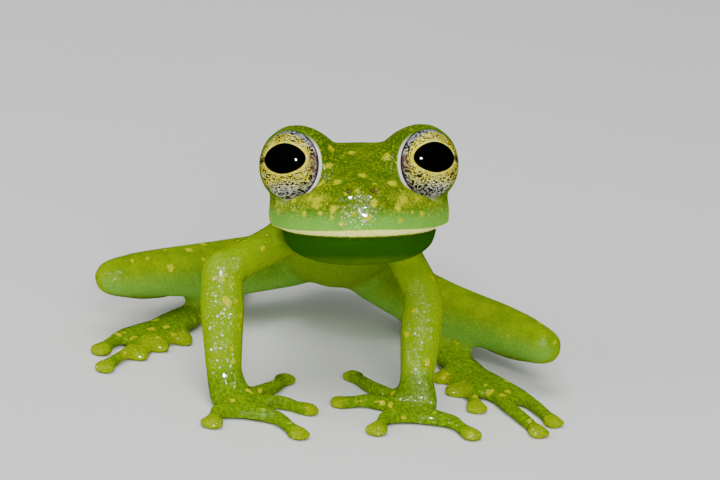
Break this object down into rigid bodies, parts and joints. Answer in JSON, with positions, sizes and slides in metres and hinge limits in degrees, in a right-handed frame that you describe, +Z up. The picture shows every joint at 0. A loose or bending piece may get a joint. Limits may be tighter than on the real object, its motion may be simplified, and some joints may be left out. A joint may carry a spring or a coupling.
{
  "type": "glass frog",
  "caption": "Life-size still model of a green glass frog with yellow flecks, sitting alert on its spread hands and folded hind legs.",
  "frame": {"origin": "on the floor that the frog rests on, under the middle of its bounding box", "axes": "+Z up, -Y the way the frog faces, +X to the frog's own left"},
  "size_m": [0.028, 0.0268, 0.0161],
  "materials": {
    "skin": "moist, finely granular, slightly see-through",
    "eye": "wet gloss over a pale netted iris and a black pupil"
  },
  "bodies": {
    "root": {"head": "skin", "lower_jaw": "skin", "torso": "skin", "eye_right": "eye", "eye_left": "eye", "upper_arm_right": "skin", "forearm_right": "skin", "hand_right": "skin", "upper_arm_left": "skin", "forearm_left": "skin", "hand_left": "skin", "thigh_right": "skin", "shank_right": "skin", "tarsus_right": "skin", "foot_right": "skin", "thigh_left": "skin", "shank_left": "skin", "tarsus_left": "skin", "foot_left": "skin"}
  },
  "joints": []
}
